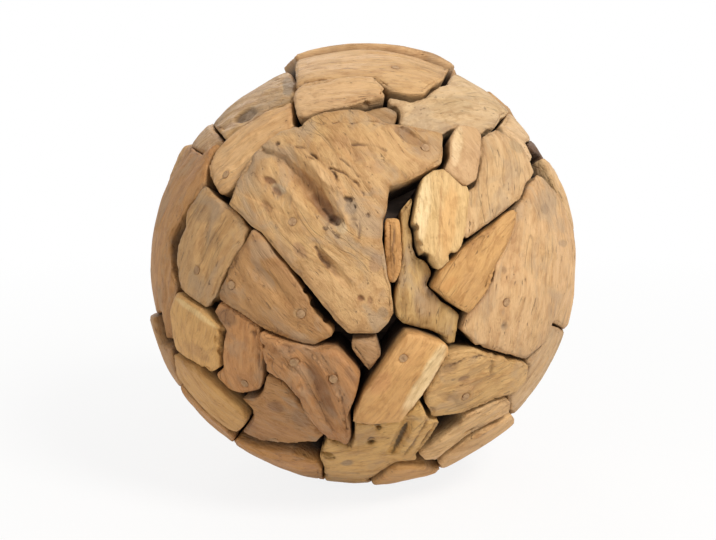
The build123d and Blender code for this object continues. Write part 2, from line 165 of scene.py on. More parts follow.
# Noises on the slabs. One count of cells per metre is for all directions, and three follow the
# fibres: along, across and outward. The second value is added to the slab's seed.
DRIFT = 0.004
DRIFT_NOISE = (22, 40, 2)
# Layered: cells, seed, rounds.
LAYERED_NOISES = {
    "swell": (28, 0, 2),
    "ridge": ((24, 170, 170), 10, 3),
    "torn": ((70, 380, 380), 15, 2),
    "mark": (120, 60, 2),
    "crack": (150, 70, 2),
    "step": (110, 80, 2),
    "nick": (160, 90, 2),
}
# In patches: cells, seed, and the ramp from none to full.
PATCH_NOISES = {
    "scoop": ((17, 52, 52), 5, (0.50, 0.95)),
    "fibrous": (40, 8, (0.30, 0.75)),
    "chip": (75, 20, (0.52, 0.90)),
    "broken": (85, 33, (0.62, 0.90)),
    "grime": (55, 36, (0.35, 0.75)),
    "crack": (170, 75, (0.30, 0.60)),
}
# Plain: cells, seed.
PLAIN_NOISES = {"splinter": (260, 25), "wear": (60, 30)}
# Keeps the grain of one slab's material apart from the next one's.
GRAIN_SHIFT = 0.37

# Noises of the slabs' materials: stretch along, across and outward, detail, distortion.
GRAIN_NOISES = {
    "broad": ((20, 120, 120), 6.0, 1.3),
    "fine": ((90, 1200, 1200), 4.0, 0.3),
    "cloud": ((30, 52, 52), 5.0, 0.8),
    "mottle": ((110, 190, 190), 5.0, 0.5),
    "dash": ((120, 520, 520), 3.0, 0.4),
    "warm": ((16, 34, 34), 3.0, 0.0),
    "split": ((5, 95, 95), 1.0, 0.1),
}
NOISE_ROUGHNESS = 0.6
STREAK_RAMP = (0.42, 0.68)
STREAK_TINT = (0.66, 0.53, 0.40, 1)
# Tints by finer noises: ramp, most of the tint, tint.
NOISE_TINTS = {
    "fine": ((0.42, 0.72), 0.55, (0.76, 0.68, 0.60, 1)),
    "mottle": ((0.46, 0.66), 0.6, (0.72, 0.64, 0.54, 1)),
    "warm": ((0.45, 0.65), 0.5, (0.94, 0.93, 0.84, 1)),
}
WORN_RAMP = (0.47, 0.66)
WORN_COLOUR = (0.40, 0.29, 0.19, 1)
FLECK_RAMP = (0.64, 0.72)
FLECK_COLOUR = (0.12, 0.065, 0.035, 1)
# Thin lines: how far either side of the noise's middle, how strong, and where on the warm noise.
LINE_RAMP = (0.002, 0.016)
LINE_STRENGTH = 0.6
LINE_PATCHES = (0.50, 0.60)
# Near-black colour of the painted shade between the slabs.
GAP_SHADE_COLOUR = (0.030, 0.017, 0.010, 1)
# Roughness varies by these amounts about a material's own.
SLAB_GLOSS_RAMP = (0.35, 0.65)
SLAB_ROUGHER = (-0.08, 0.1)
SLAB_SPECULAR = 0.35
# Heights of noises in the bump, its strength and its distance.
BUMP_HEIGHTS = {"broad": 1.2, "fine": 0.5, "mottle": 0.8}
SLAB_BUMP = (0.95, 0.0014)

# Materials of the core and the pegs.
PLAIN_RAMP = (0.35, 0.65)
PORE_SCALE = 420.0
PORE_RAMP = (0.5, 0.7)
PORE_STRENGTH = 0.6
PORE_TINT = (0.55, 0.45, 0.38, 1)
PLAIN_GLOSS_RAMP = (0.3, 0.7)
PLAIN_ROUGHER = (-0.06, 0.08)
PLAIN_SPECULAR = 0.3
PLAIN_BUMP = (0.4, 0.0004)

# Lamps: name, place, diameter, watts, colour.
LAMPS = [
    ("key_lamp", (0.80, -0.95, 1.15), 0.55, 22.4, (1.0, 0.98, 0.95)),
    ("back_lamp", (-0.5, 1.6, 1.1), 1.2, 9.0, (1.0, 0.98, 0.95)),
    ("fill_lamp", (-1.3, -1.1, 0.5), 1.2, 4.8, (1.0, 0.97, 0.93)),
]
WORLD_COLOUR = (1.0, 0.98, 0.96, 1)
WORLD_STRENGTH = 0.40
WHITE = (1, 1, 1, 1)
FLOOR_RADIUS = 4.0
FLOOR_CORNERS = 96
FLOOR_COLOUR = (0.86, 0.85, 0.83, 1)
# The floor shows white by the first share near the ball, which leaves its shadow, and by the second
# one far off. The other pair is from where to where it changes.
FLOOR_WHITE = (0.86, 1.0)
FLOOR_FADE = (0.2, 1.0)

# Each seen slab: wood tone as screen red, green and blue, grain angle in degrees as seen facing the
# slab, from level and turning anticlockwise, and weathering from 0 to 1.
SEEN_SLABS = {
    "heart_slab": ((207, 166, 114), -50, 0.55),
    "temple_plank": ((226, 182, 128), 50, 0.30),
    "upper_left_rim_slab": ((196, 159, 111), 40, 0.60),
    "left_rim_slab": ((191, 142, 88), 75, 0.45),
    "left_shoulder_sliver": ((196, 158, 112), 60, 0.40),
    "crest_plank": ((213, 172, 120), 4, 0.25),
    "top_rim_slab": ((214, 174, 126), 6, 0.35),
    "brow_plank": ((218, 178, 130), 9, 0.15),
    "neck_chip": ((174, 138, 95), -30, 0.50),
    "upper_right_slab": ((216, 184, 140), -10, 0.45),
    "right_shoulder_sliver": ((228, 192, 146), -45, 0.30),
    # This sliver's tone is darkened to paint the shade of the gap it lies in.
    "right_rear_sliver": ((104, 76, 54), -70, 0.40),
    "right_gap_splint": ((226, 188, 138), -65, 0.20),
    "cheek_block": ((206, 167, 122), 98, 0.10),
    "right_temple_slab": ((215, 178, 131), 76, 0.40),
    "pale_blade": ((224, 187, 130), 84, 0.05),
    "sunken_neck": ((203, 166, 109), 86, 0.55),
    "short_stick": ((213, 162, 101), 88, 0.20),
    "amber_wedge": ((210, 163, 103), 45, 0.10),
    "right_rim_slab": ((218, 178, 130), 82, 0.45),
    "right_lower_slab": ((208, 167, 110), 16, 0.45),
    "lower_right_rim_slab": ((214, 178, 132), 62, 0.35),
    "long_lower_slab": ((224, 184, 131), 36, 0.40),
    "bottom_right_rim_slab": ((222, 180, 126), 34, 0.20),
    "bottom_rim_slab": ((215, 166, 104), 5, 0.25),
    "forked_root": ((215, 172, 107), 18, 0.40),
    "chock": ((186, 146, 103), -40, 0.40),
    "pale_plank": ((220, 170, 109), 60, 0.08),
    "ridge_slab": ((191, 140, 91), -66, 0.45),
    "bottom_left_slab": ((182, 135, 85), -20, 0.60),
    "bottom_left_rim_slab": ((197, 144, 83), -14, 0.45),
    "lower_left_rim_slab": ((198, 148, 94), -45, 0.35),
    "lower_left_plank": ((205, 158, 95), -42, 0.10),
    "left_lower_rim_slab": ((190, 146, 96), -66, 0.40),
    "left_lower_slab": ((203, 149, 95), 78, 0.40),
    "left_pale_patch": ((218, 170, 105), 62, 0.10),
    "left_wedge_slab": ((182, 137, 87), -48, 0.45),
    "left_middle_slab": ((200, 159, 108), 62, 0.50),
}
# Each far slab: the same three.
FAR_SLABS = {
    "back_heart_slab": ((212, 170, 120), 35, 0.50),
    "back_top_left_slab": ((228, 188, 138), 12, 0.30),
    "back_left_temple_slab": ((198, 154, 106), 64, 0.40),
    "back_top_slab": ((222, 180, 130), -12, 0.25),
    "back_top_right_slab": ((212, 174, 126), 24, 0.40),
    "back_right_temple_slab": ((228, 184, 126), -56, 0.20),
    "back_right_shoulder_slab": ((196, 156, 110), 70, 0.45),
    "back_right_slab": ((210, 166, 114), -72, 0.45),
    "back_cheek_slab": ((238, 196, 142), 40, 0.12),
    "back_right_hip_slab": ((188, 142, 96), -30, 0.50),
    "back_belly_slab": ((222, 174, 116), 20, 0.35),
    "back_lower_right_slab": ((202, 156, 106), 48, 0.45),
    "back_bottom_right_slab": ((206, 160, 110), 10, 0.35),
    "back_lower_belly_slab": ((186, 140, 94), -24, 0.50),
    "base_slab": ((198, 152, 106), 30, 0.45),
    "back_bottom_left_slab": ((206, 162, 112), -8, 0.40),
    "back_left_hip_slab": ((216, 170, 114), 58, 0.20),
    "back_lower_left_slab": ((186, 142, 98), -44, 0.45),
    "back_left_slab": ((208, 166, 116), 80, 0.45),
    "back_left_shoulder_slab": ((224, 182, 132), -60, 0.30),
}
PALE_SLABS = {"pale_plank", "pale_blade", "left_pale_patch", "lower_left_plank", "cheek_block"}

# Marks: slab, middle in photo pixels, half sizes in pixels, clockwise turn in degrees, screen
# colour, strength, depth.
MARKS = [
    ("heart_slab", (312, 192), (42, 8), 51, (156, 112, 74), 0.42, 0.0012),
    ("heart_slab", (322, 206), (16, 6), 48, (120, 78, 50), 0.60, 0.0016),
    ("heart_slab", (333, 218), (7, 4), 50, (88, 50, 34), 0.80, 0.0022),
    # The next two are raised ridges beside the trough that are also painted paler, a painted
    # highlight along them.
    ("heart_slab", (330, 182), (30, 5), 47, (224, 184, 134), 0.50, -0.0012),
    ("heart_slab", (291, 190), (30, 5), 52, (214, 172, 122), 0.45, -0.0008),
    ("heart_slab", (330, 266), (20, 3.2), 50, (150, 110, 74), 0.55, 0.0006),
    ("heart_slab", (356, 150), (22, 10), 20, (196, 152, 104), 0.35, 0.0012),
    ("heart_slab", (341, 226), (9, 5), 60, (206, 186, 154), 0.55, 0.0),
    ("heart_slab", (351, 206), (7, 9), 10, (150, 130, 108), 0.75, 0.0004),
    ("heart_slab", (347, 199), (5, 3), 30, (58, 42, 32), 0.80, 0.0016),
    ("heart_slab", (354, 206), (2.6, 2.6), 0, (30, 22, 17), 0.95, 0.0020),
    ("heart_slab", (278, 188), (9, 5), 30, (196, 180, 156), 0.55, 0.0),
    ("heart_slab", (268, 180), (8, 4), 20, (134, 84, 58), 0.60, 0.0012),
    ("heart_slab", (276, 191), (6, 3), 40, (140, 90, 64), 0.50, 0.0010),
    ("heart_slab", (266, 206), (9, 4), 45, (158, 118, 82), 0.50, 0.0006),
    ("heart_slab", (301, 251), (10, 6), 50, (152, 114, 88), 0.50, 0.0005),
    ("heart_slab", (376, 263), (7, 11), 0, (152, 116, 92), 0.50, 0.0003),
    ("heart_slab", (325, 228), (2.6, 2.4), 0, (70, 46, 32), 0.80, 0.0016),
    ("heart_slab", (337, 236), (2.4, 2.4), 0, (84, 56, 38), 0.70, 0.0012),
    ("heart_slab", (368, 215), (2.2, 2.6), 0, (74, 52, 36), 0.75, 0.0014),
    ("heart_slab", (277, 143), (3.0, 2.2), 0, (78, 56, 40), 0.80, 0.0014),
    ("heart_slab", (361, 299), (4, 3), 30, (120, 70, 46), 0.60, 0.0012),
    ("heart_slab", (370, 301), (3, 5), 0, (140, 96, 66), 0.50, 0.0008),
    ("heart_slab", (383, 313), (6, 6), 0, (128, 116, 102), 0.50, 0.0),
    ("heart_slab", (252, 168), (16, 20), 20, (180, 146, 106), 0.45, 0.0),
    ("heart_slab", (336, 142), (17, 9), -10, (190, 146, 98), 0.45, 0.0),
    ("heart_slab", (376, 166), (12, 8), 0, (182, 136, 92), 0.45, 0.0005),
    ("heart_slab", (410, 137), (20, 5), 33, (138, 102, 70), 0.55, 0.0012),
    ("heart_slab", (428, 150), (14, 10), 0, (178, 146, 112), 0.40, 0.0),
    ("upper_left_rim_slab", (288, 87), (6, 10), 0, (128, 116, 100), 0.65, 0.0),
    # A sunk hollow that is also painted dark brown: painted shade in the hollow.
    ("upper_left_rim_slab", (244, 114), (13, 5), -28, (66, 48, 34), 0.75, 0.0020),
    ("right_rim_slab", (545, 205), (12, 16), 0, (176, 150, 120), 0.50, 0.0),
    ("pale_plank", (380, 385), (16, 10), -50, (206, 140, 92), 0.35, 0.0),
    ("pale_plank", (427, 377), (48, 8), -60, (250, 220, 170), 0.90, 0.0),
    ("pale_blade", (423, 212), (8, 44), 6, (250, 222, 172), 0.70, 0.0),
    ("pale_blade", (449, 222), (9, 40), 6, (226, 172, 106), 0.50, 0.0),
    ("cheek_block", (457, 146), (5, 24), 8, (246, 216, 170), 0.65, 0.0),
    ("ridge_slab", (322, 390), (6, 34), -24, (116, 80, 56), 0.55, 0.0010),
    ("ridge_slab", (289, 347), (8, 7), 0, (120, 98, 80), 0.45, 0.0),
    ("ridge_slab", (352, 372), (8, 14), -20, (128, 98, 76), 0.40, 0.0),
    ("bottom_left_slab", (276, 408), (10, 6), 20, (122, 92, 72), 0.50, 0.0),
    ("bottom_left_slab", (300, 420), (12, 7), 30, (126, 100, 80), 0.45, 0.0),
    ("left_wedge_slab", (300, 313), (7, 5), 0, (200, 168, 124), 0.50, 0.0),
    ("sunken_neck", (428, 300), (16, 24), 0, (156, 122, 98), 0.45, 0.0),
    ("sunken_neck", (430, 285), (8, 11), 0, (138, 120, 104), 0.55, 0.0),
    ("right_rim_slab", (505, 326), (5, 5), 0, (150, 126, 98), 0.55, 0.0006),
    ("right_rim_slab", (504, 326), (2, 2), 0, (96, 74, 56), 0.60, 0.0008),
    ("right_rim_slab", (505, 270), (3, 4), 0, (150, 122, 92), 0.55, 0.0),
    ("right_rim_slab", (546, 208), (5, 6), 0, (146, 120, 94), 0.55, 0.0),
    ("right_rim_slab", (564, 243), (5, 4), 0, (156, 130, 104), 0.50, 0.0),
    ("right_temple_slab", (518, 146), (9, 5), 30, (168, 144, 110), 0.50, 0.0),
    ("left_middle_slab", (206, 210), (14, 15), 0, (150, 122, 90), 0.45, 0.0),
    ("left_middle_slab", (212, 238), (12, 8), 60, (158, 124, 86), 0.40, 0.0),
    ("left_lower_slab", (227, 318), (13, 9), 30, (118, 90, 68), 0.55, 0.0),
    ("upper_right_slab", (450, 106), (26, 9), 0, (180, 152, 112), 0.40, 0.0),
    ("amber_wedge", (447, 286), (12, 6), -40, (206, 148, 88), 0.45, 0.0),
    ("right_lower_slab", (470, 388), (18, 8), -20, (170, 130, 88), 0.45, 0.0),
    ("forked_root", (347, 465), (6, 3), 0, (140, 118, 98), 0.60, 0.0),
    ("forked_root", (399, 440), (2.2, 20), 26, (44, 28, 19), 0.85, 0.0016),
    ("forked_root", (416, 432), (5, 20), 28, (226, 184, 126), 0.40, -0.0010),
    ("forked_root", (432, 438), (5, 14), 40, (120, 82, 54), 0.55, 0.0016),
    ("forked_root", (329, 457), (6, 4), 40, (34, 24, 18), 0.90, 0.0026),
    ("forked_root", (378, 425), (4.0, 2.8), 0, (32, 21, 15), 0.90, 0.0010),
    ("forked_root", (372, 442), (4.6, 4.0), 0, (74, 42, 32), 0.85, 0.0010),
    ("forked_root", (412, 446), (1.6, 14), 34, (92, 62, 40), 0.60, 0.0012),
    ("forked_root", (424, 426), (1.6, 10), 30, (104, 72, 46), 0.55, 0.0010),
    ("forked_root", (366, 440), (22, 5), 0, (160, 118, 76), 0.40, 0.0008),
    ("left_pale_patch", (196, 313), (30, 3.5), 35, (236, 206, 150), 0.65, 0.0),
    ("left_pale_patch", (196, 352), (16, 6), 40, (176, 128, 78), 0.40, 0.0),
    ("pale_blade", (440, 220), (1.8, 44), 3, (176, 124, 72), 0.50, 0.0003),
    ("right_lower_slab", (450, 368), (10, 5), -20, (132, 98, 68), 0.50, 0.0006),
    ("right_lower_slab", (464, 379), (6, 3), -15, (132, 84, 56), 0.55, 0.0008),
    ("right_lower_slab", (446, 398), (10, 6), 30, (150, 112, 74), 0.40, 0.0006),
]
# Cracks: slab, run of photo pixels, half width in pixels, depth.
CRACKS = [
    ("heart_slab", [(333, 172), (337, 181), (336, 190), (345, 197), (351, 198)], 0.9, 0.0012),
    ("heart_slab", [(359, 219), (360, 228), (358, 237)], 0.9, 0.0010),
    ("heart_slab", [(352, 220), (364, 221)], 0.7, 0.0008),
    ("heart_slab", [(334, 122), (362, 122), (392, 121)], 0.9, 0.0012),
    ("heart_slab", [(296, 146), (308, 150), (318, 160), (330, 168)], 0.8, 0.0010),
    ("heart_slab", [(330, 168), (344, 172), (356, 182), (362, 194)], 0.8, 0.0010),
    ("heart_slab", [(352, 143), (372, 146), (386, 150)], 0.7, 0.0008),
    ("heart_slab", [(315, 247), (321, 256), (329, 266)], 0.8, 0.0010),
    ("heart_slab", [(300, 150), (314, 160), (324, 172), (334, 186)], 0.6, 0.0008),
    ("heart_slab", [(306, 150), (322, 163), (336, 176)], 0.6, 0.0008),
    ("heart_slab", [(322, 206), (330, 216), (336, 222)], 0.8, 0.0010),
    ("heart_slab", [(340, 158), (352, 168), (358, 176)], 0.7, 0.0008),
    ("ridge_slab", [(318, 352), (334, 372), (342, 402), (345, 426)], 0.6, 0.0010),
    ("chock", [(354, 350), (362, 360), (370, 370)], 0.6, 0.0008),
    ("forked_root", [(358, 442), (358, 456)], 0.8, 0.0010),
    ("forked_root", [(420, 452), (436, 438)], 0.9, 0.0010),
    ("short_stick", [(394, 222), (394, 276)], 0.7, 0.0006),
    ("right_lower_slab", [(492, 363), (493, 376)], 1.3, 0.0018),
    ("right_lower_slab", [(452, 366), (470, 358), (486, 356)], 0.6, 0.0008),
    ("left_lower_slab", [(252, 332), (258, 348), (258, 372)], 0.9, 0.0010),
]
# Steps: slab, run of photo pixels, how many pixels the lower side takes to rise again, height.
# The lower side is on the right of someone walking along the run.
STEPS = [
    ("heart_slab", [(266, 148), (285, 155), (302, 172), (322, 194), (338, 214)], 14, 0.0028),
    ("heart_slab", [(424, 143), (395, 124), (362, 121), (336, 122)], 9, 0.0013),
    ("heart_slab", [(366, 196), (358, 186), (348, 176), (334, 170), (318, 160)], 8, 0.0011),
    ("heart_slab", [(282, 214), (262, 204), (246, 196)], 12, 0.0010),
    ("ridge_slab", [(345, 428), (338, 396), (322, 366), (306, 350)], 12, 0.0016),
    ("ridge_slab", [(276, 350), (300, 372), (318, 400), (338, 436)], 12, 0.0018),
    ("forked_root", [(444, 420), (420, 456)], 10, 0.0014),
    ("right_lower_slab", [(520, 362), (490, 352), (458, 356)], 8, 0.0010),
]
# Nicks in broken edges: slab, middle in photo pixels, radius in pixels, depth.
NICKS = [
    ("left_pale_patch", (220, 330), 4.5, 0.0020),
    ("left_pale_patch", (217, 341), 5.0, 0.0024),
    ("left_pale_patch", (220, 351), 4.0, 0.0018),
    ("left_pale_patch", (205, 371), 4.5, 0.0016),
    ("pale_blade", (415, 228), 5.0, 0.0024),
    ("pale_blade", (419, 243), 5.0, 0.0020),
    ("pale_blade", (424, 258), 6.0, 0.0030),
    ("pale_blade", (452, 256), 6.0, 0.0024),
    ("heart_slab", (387, 222), 4.0, 0.0020),
    ("heart_slab", (389, 240), 4.5, 0.0018),
    ("heart_slab", (242, 168), 4.5, 0.0014),
    ("heart_slab", (300, 126), 5.0, 0.0014),
    ("right_rim_slab", (466, 342), 4.5, 0.0020),
    ("right_rim_slab", (479, 349), 5.0, 0.0020),
    ("right_rim_slab", (494, 355), 4.5, 0.0018),
    ("left_wedge_slab", (306, 291), 5.0, 0.0022),
    ("left_wedge_slab", (314, 303), 5.5, 0.0026),
    ("left_wedge_slab", (326, 320), 4.5, 0.0018),
    ("left_lower_slab", (257, 333), 4.5, 0.0020),
    ("left_lower_slab", (260, 350), 4.5, 0.0018),
    ("ridge_slab", (264, 346), 4.5, 0.0020),
    ("ridge_slab", (270, 362), 4.5, 0.0018),
    ("ridge_slab", (300, 388), 4.5, 0.0016),
    ("forked_root", (440, 428), 5.0, 0.0022),
    ("forked_root", (434, 446), 5.0, 0.0020),
    ("brow_plank", (383, 92), 5.0, 0.0022),
    ("brow_plank", (366, 104), 4.5, 0.0018),
    ("upper_right_slab", (394, 110), 4.5, 0.0018),
    ("bottom_left_slab", (318, 432), 4.5, 0.0018),
    ("bottom_left_slab", (262, 402), 5.0, 0.0018),
    ("left_middle_slab", (216, 302), 4.5, 0.0016),
    ("right_lower_slab", (494, 357), 4.5, 0.0018),
    ("right_lower_slab", (432, 412), 4.5, 0.0016),
]


def linear(screen):
    """Screen red, green and blue of 0 to 255 as linear values."""
    share = np.asarray(screen, float) / 255
    return np.where(share <= 0.04045, share / 12.92, ((share + 0.055) / 1.055) ** 2.4)


def unit(vector):
    return vector / np.linalg.norm(vector)


def smooth_step(low, high, value):
    t = np.clip((value - low) / (high - low), 0, 1)
    return t * t * (3 - 2 * t)


def lattice(cell, seed):
    """A repeatable value of 0 to 1 for each cell, by whole numbers that scramble its place."""
    h = cell[:, 0] * 374761393 + cell[:, 1] * 668265263 + cell[:, 2] * 1274126177
    h = h + seed * 974634777
    h = (h ^ (h >> 13)) * 1103515245
    h = (h ^ (h >> 16)) & 0xFFFFFF
    return h / float(0xFFFFFF)


def soft_noise(points, seed):
    """Noise of 0 to 1 that runs smoothly from cell to cell."""
    base = np.floor(points).astype(np.int64)
    part = points - base
    part = part * part * (3 - 2 * part)
    total = np.zeros(len(points))
    for corner in range(8):
        step = np.array([corner & 1, (corner >> 1) & 1, corner >> 2])
        weight = np.prod(np.where(step == 1, part, 1 - part), axis=1)
        total += weight * lattice(base + step, seed)
    return total


def layered(points, seed, rounds):
    """Noise of several finer layers, from about -1 to 1."""
    total = np.zeros(len(points))
    size = 1.0
    for turn in range(rounds):
        total += size * (2 * soft_noise(points * 2.0 ** turn, seed + turn) - 1)
        size *= 0.5
    return total


def to_pixels(points):
    """Where points land in the photo, for the viewer of the photo."""
    up = np.array([0, math.sin(VIEWER_ELEVATION), math.cos(VIEWER_ELEVATION)])
    away = VIEWER_DISTANCE - points @ TO_VIEWER
    across = PHOTO_CENTRE[0] + FOCAL_PIXELS * points[:, 0] / away
    down = PHOTO_CENTRE[1] - FOCAL_PIXELS * (points @ up) / away
    return np.column_stack([across, down])


def run_distance(spots, run):
    """Distance of each spot from a run of straight pieces, and whether it lies to their right."""
    best = np.full(len(spots), np.inf)
    right = np.zeros(len(spots), bool)
    for start, end in zip(run[:-1], run[1:]):
        a = np.array(start, float)
        along = np.array(end, float) - a
        t = np.clip(((spots - a) @ along) / (along @ along), 0, 1)
        off = spots - a - t[:, None] * along
        away = np.linalg.norm(off, axis=1)
        right = np.where(away < best, along[0] * off[:, 1] - along[1] * off[:, 0] > 0, right)
        best = np.minimum(best, away)
    return best, right


def remeshed(node, voxel):
    """A new object with the node's form in even small faces."""
    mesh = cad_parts[node].data.copy()
    form = bmesh.new()
    form.from_mesh(mesh)
    bmesh.ops.remove_doubles(form, verts=form.verts, dist=WELD_DISTANCE)
    form.to_mesh(mesh)
    form.free()
    mesh.materials.clear()
    piece = bpy.data.objects.new("wood_" + node, mesh)
    bpy.context.scene.collection.objects.link(piece)
    voxels = piece.modifiers.new("voxels", "REMESH")
    voxels.mode = "VOXEL"
    voxels.voxel_size = voxel
    bake(piece)
    drop_specks(piece.data)
    thin_hidden(piece)
    piece.data.name = "wood_" + node
    return piece


def bake(piece):
    """Makes what the piece's modifiers give its own mesh."""
    bpy.context.view_layer.update()
    plain = piece.data
    graph = bpy.context.evaluated_depsgraph_get()
    piece.data = bpy.data.meshes.new_from_object(piece.evaluated_get(graph))
    piece.modifiers.clear()
    bpy.data.meshes.remove(plain)


def drop_specks(mesh):
    """Deletes loose specks beside the main body of a mesh."""
    pairs = edge_pairs(mesh)
    label = np.arange(len(mesh.vertices))
    while True:
        lower = np.minimum(label[pairs[:, 0]], label[pairs[:, 1]])
        renewed = label.copy()
        np.minimum.at(renewed, pairs[:, 0], lower)
        np.minimum.at(renewed, pairs[:, 1], lower)
        renewed = renewed[renewed]
        if np.array_equal(renewed, label):
            break
        label = renewed
    loose = np.flatnonzero(label != np.bincount(label).argmax())
    if len(loose):
        form = bmesh.new()
        form.from_mesh(mesh)
        form.verts.ensure_lookup_table()
        bmesh.ops.delete(form, geom=[form.verts[index] for index in loose], context="VERTS")
        form.to_mesh(mesh)
        form.free()


def thin_hidden(piece):
    """Leaves larger faces on the part of a slab that lies deep between its neighbours."""
    points = positions(piece.data)
    reach = np.linalg.norm(points, axis=1)
    lift = np.sum(normals(piece.data) * points, axis=1) / reach
    hidden = reach < np.percentile(reach[lift > OUTER_LIFT], HIDDEN_PERCENTILE) - WALL_SEEN
    group = piece.vertex_groups.new(name="hidden")
    group.add(np.flatnonzero(hidden).tolist(), 1.0, "REPLACE")
    fewer = piece.modifiers.new("fewer", "DECIMATE")
    fewer.vertex_group = "hidden"
    fewer.ratio = 1 - HIDDEN_SAVING * float(hidden.mean())
    bake(piece)
    piece.vertex_groups.clear()


def edge_pairs(mesh):
    flat = np.zeros(len(mesh.edges) * 2, np.int32)
    mesh.edges.foreach_get("vertices", flat)
    return flat.reshape(-1, 2)


def positions(mesh):
    flat = np.zeros(len(mesh.vertices) * 3, np.float32)
    mesh.vertices.foreach_get("co", flat)
    return flat.reshape(-1, 3).astype(float)


def normals(mesh):
    flat = np.zeros(len(mesh.vertices) * 3, np.float32)
    mesh.vertex_normals.foreach_get("vector", flat)
    return flat.reshape(-1, 3).astype(float)


def place(mesh, points):
    mesh.vertices.foreach_set("co", points.astype(np.float32).ravel())
    mesh.update()


def relaxed(mesh, points, rounds):
    """Points drawn towards the middle of their neighbours, which rounds worn edges."""
    pairs = edge_pairs(mesh)
    count = np.bincount(pairs.ravel(), minlength=len(points)).astype(float)
    for _ in range(rounds):
        middle = np.zeros_like(points)
        for axis in range(3):
            middle[:, axis] += np.bincount(pairs[:, 0], points[pairs[:, 1], axis], len(points))
            middle[:, axis] += np.bincount(pairs[:, 1], points[pairs[:, 0], axis], len(points))
        points = 0.5 * points + 0.5 * middle / count[:, None]
    return points


def peg_axes():
    """The direction of every peg, read from its outer end."""
    ends = positions(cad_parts["pegs"].data)
    ends = ends[np.linalg.norm(ends, axis=1) > PEG_END_REACH]
    ends = ends / np.linalg.norm(ends, axis=1)[:, None]
    axes = []
    while len(ends):
        near = ends @ ends[0] > math.cos(PEG_END_SPREAD)
        axes.append(unit(ends[near].mean(axis=0)))
        ends = ends[~near]
    return axes


PEG_AXES = peg_axes()


def rim_distance(points, on_top, near_top):
    """How far each point of the outer face lies from the slab's side walls."""
    walls = np.flatnonzero((on_top < WALL_SHARE) & (near_top > WALL_NEARNESS))
    tree = kdtree.KDTree(len(walls))
    for index in walls:
        tree.insert(points[index], index)
    tree.balance()
    away = np.full(len(points), 1.0)
    for index in np.flatnonzero(on_top >= WALL_SHARE):
        away[index] = tree.find(points[index])[2]
    return away


def fibre_places(points, outward, grain_degrees, seed):
    """Where points lie along the fibres, across them and outward. The fibres drift a little."""
    up = np.array([0.0, 0.0, 1.0]) if abs(outward[2]) < STEEP else np.array([0.0, 1.0, 0.0])
    up = unit(up - outward * (up @ outward))
    right = np.cross(up, outward)
    turn = math.radians(grain_degrees)
    grain = right * math.cos(turn) + up * math.sin(turn)
    cross = np.cross(outward, grain)
    fibre = np.column_stack([points @ grain, points @ cross, points @ outward])
    cells, shift, rounds = DRIFT_NOISE
    drift = [layered(points * cells, seed + shift + axis, rounds) for axis in range(3)]
    return fibre + DRIFT * np.column_stack(drift)


class Slab:
    """A slab's fine mesh, and the values at its points that its relief and tone come from."""

    def __init__(self, node, grain_degrees, seed, voxel):
        self.node = node
        self.seed = seed
        self.piece = remeshed(node, voxel)
        self.mesh = self.piece.data
        self.points = relaxed(self.mesh, positions(self.mesh), SMOOTH_ROUNDS)
        place(self.mesh, self.points)
        self.facing = normals(self.mesh)
        self.reach = np.linalg.norm(self.points, axis=1)
        self.radial = self.points / self.reach[:, None]
        self.lift = np.sum(self.facing * self.radial, axis=1)
        # From 0 on the walls to 1 on the outer face.
        self.on_top = smooth_step(*TOP_RAMP, self.lift)
        outer = self.on_top > 0.5
        self.outer_reach = self.reach[outer]
        outward = unit(self.points[outer].mean(axis=0))
        self.fibre = fibre_places(self.points, outward, grain_degrees, seed)
        # From 0 deep between the slabs to 1 near the outer face.
        below = self.reach - np.percentile(self.outer_reach, TOP_PERCENTILE)
        self.near_top = smooth_step(*NEAR_TOP_RAMP, below)
        self.rim = np.exp(-rim_distance(self.points, self.on_top, self.near_top) / RIM_REACH)
        # From little at the ball's outline, as the photo shows it, to 1 further in.
        inside = smooth_step(*OUTLINE_RAMP, np.abs(self.radial @ TO_VIEWER))
        self.inner = OUTLINE_SHARE + (1 - OUTLINE_SHARE) * inside
        self.smoother = PALE_SMOOTHER if node in PALE_SLABS else 1.0
        self.ragged = 1.0 if node in SEEN_SLABS else FAR_RAGGED
        self.spots = to_pixels(self.points)
        self.in_front = self.radial[:, 1] < FRONT_LIMIT
        self.front = self.in_front * self.on_top

    def in_cells(self, cells):
        """The points counted in cells of noise, by plain place or along the fibres."""
        return self.points * cells if np.isscalar(cells) else self.fibre * np.array(cells)

    def layers(self, kind):
        cells, shift, rounds = LAYERED_NOISES[kind]
        return layered(self.in_cells(cells), self.seed + shift, rounds)

    def patches(self, kind):
        cells, shift, ramp = PATCH_NOISES[kind]
        return smooth_step(*ramp, soft_noise(self.in_cells(cells), self.seed + shift))

    def plain(self, kind):
        cells, shift = PLAIN_NOISES[kind]
        return soft_noise(self.in_cells(cells), self.seed + shift)


def face_relief(slab):
    """Swellings, scoops and torn fibre of the outer face."""
    fibrous = slab.patches("fibrous")
    swell = slab.layers("swell") - SWELL_MIDDLE
    ridge = slab.layers("ridge") * (RIDGE_LEAST + (1 - RIDGE_LEAST) * fibrous)
    torn = slab.layers("torn") * fibrous
    relief = SWELL * swell - SCOOP * slab.patches("scoop") + RIDGE * ridge + TORN * torn
    return slab.on_top * slab.smoother * relief


def wall_relief(slab):
    """Chips in the walls, which reach into the seams beside them."""
    chip = slab.patches("chip") + SPLINTER_SHARE * slab.plain("splinter")
    chip = slab.smoother * slab.ragged * CHIP * chip * slab.inner
    fill = FILL * (2 - slab.ragged) + WIDER.get(slab.node, 0.0) + LIMB_FILL * (1 - slab.inner)
    return (1 - slab.on_top) * slab.near_top * (fill - chip) * (slab.lift > UNDERSIDE_LIFT)


def rim_wear(slab):
    """How deep the rim of the outer face is worn and broken."""
    wear = RIM_EVEN * slab.plain("wear") + RIM_BROKEN * slab.patches("broken")
    return slab.on_top * slab.rim * slab.smoother * slab.ragged * RIM_WEAR * wear * slab.inner


